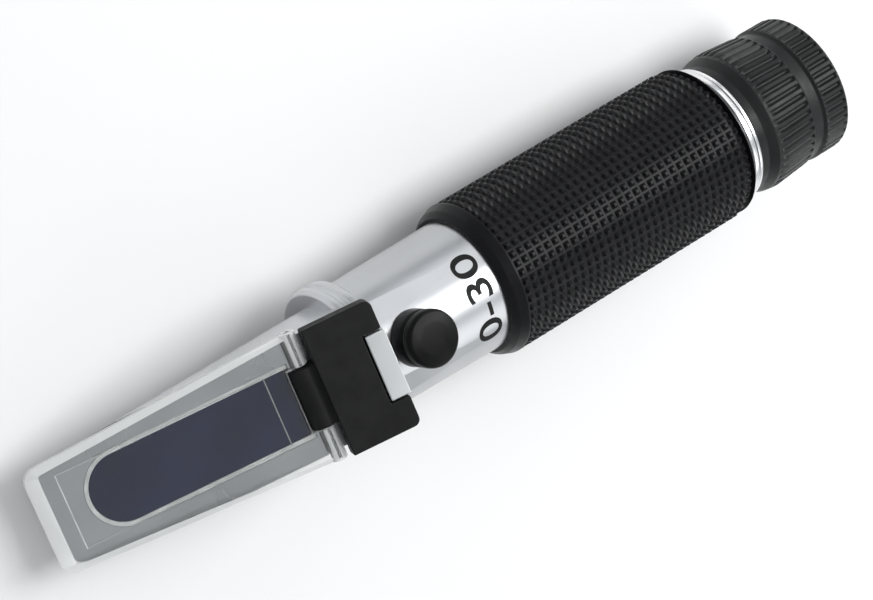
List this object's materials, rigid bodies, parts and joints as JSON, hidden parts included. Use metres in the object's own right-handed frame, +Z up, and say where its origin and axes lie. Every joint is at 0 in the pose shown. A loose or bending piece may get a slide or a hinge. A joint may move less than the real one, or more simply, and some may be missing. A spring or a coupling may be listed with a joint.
{
  "type": "refractometer",
  "caption": "Hand-held optical refractometer: wedge-shaped prism head with a clear hinged daylight plate, metal barrel with rubber grip, capped calibration screw and focusing eyepiece.",
  "frame": {"origin": "under the middle of the instrument, on the surface that the grip lies on", "axes": "+X along the barrel from the prism tip to the eyepiece, +Z up through the hinge bracket and the calibration cap, +Y to the left when looking along +X"},
  "size_m": [0.1724, 0.0298, 0.0336],
  "materials": {
    "satin_metal": "satin, fine bead-blasted and lacquered",
    "chrome": "polished",
    "prism_glass": "polished, dark navy by reflection",
    "sealant": "pale grey sealant bead",
    "clear_plate": "clear moulded acrylic, standing in as glass",
    "black_plastic": "black, fine moulded grain",
    "steel": "bright drawn steel",
    "grip_rubber": "black rubber with a grid of small pyramids",
    "eyepiece_rubber": "black rubber with raised ribs",
    "cap_rubber": "smooth black rubber",
    "brass": "turned",
    "bimetal": "rolled strip",
    "black_metal": "matt black anodised",
    "lens_glass": "polished and coated"
  },
  "bodies": {
    "instrument": {"prism_housing": "satin_metal", "main_prism": "prism_glass", "prism_seal": "sealant", "hinge_bracket": "black_plastic", "hinge_pin": "steel", "aperture_stop": "black_metal", "barrel_tube": "satin_metal", "calibration_bush": "brass", "bimetal_anchor": "brass", "bimetal_screw": "steel", "baffle_tube": "black_metal", "grip_sleeve": "grip_rubber", "reticle_glass": "lens_glass", "reticle_ring": "black_metal", "nose_tube": "black_metal", "trim_ring": "chrome", "focus_oring": "cap_rubber", "ocular_key": "steel"},
    "plate": {"daylight_plate": "clear_plate"},
    "cap": {"calibration_cap": "cap_rubber"},
    "screw": {"calibration_screw": "brass"},
    "carrier": {"lens_carrier": "brass", "objective_lens": "lens_glass", "objective_retainer": "black_metal", "bimetal_strip": "bimetal"},
    "ocular": {"ocular_tube": "black_metal", "field_lens": "lens_glass", "lens_spacer": "black_metal", "eye_lens": "lens_glass", "lens_retainer": "black_metal"},
    "eyepiece": {"focus_ring": "black_plastic", "eyepiece_cover": "eyepiece_rubber"}
  },
  "joints": [
    {"name": "plate_hinge", "type": "hinge", "parent": "instrument", "child": "plate", "pos_m": [-0.03725, 0, 0.02474], "axis": [0, 1, 0], "range_deg": [0, 100]},
    {"name": "cap_pull", "type": "slide", "parent": "instrument", "child": "cap", "axis": [0, 0, 1], "range_m": [0, 0.012]},
    {"name": "calibration_spin", "type": "hinge", "parent": "instrument", "child": "screw", "pos_m": [-0.0156, 0, 0.02943], "axis": [0, 0, 1], "range_deg": [-360, 360]},
    {"name": "carrier_shift", "type": "slide", "parent": "instrument", "child": "carrier", "axis": [0, 0, 1], "range_m": [-0.0005, 0.0005]},
    {"name": "ocular_slide", "type": "slide", "parent": "instrument", "child": "ocular", "axis": [1, 0, 0], "range_m": [0, 0.003]},
    {"name": "focus_spin", "type": "hinge", "parent": "ocular", "child": "eyepiece", "pos_m": [0.075, 0, 0.01493], "axis": [1, 0, 0], "range_deg": [0, 300]}
  ],
  "couplings": [
    {"joint": "calibration_spin", "follows": "carrier_shift", "rad_per_m": 12566},
    {"joint": "focus_spin", "follows": "ocular_slide", "rad_per_m": 1745.3}
  ]
}
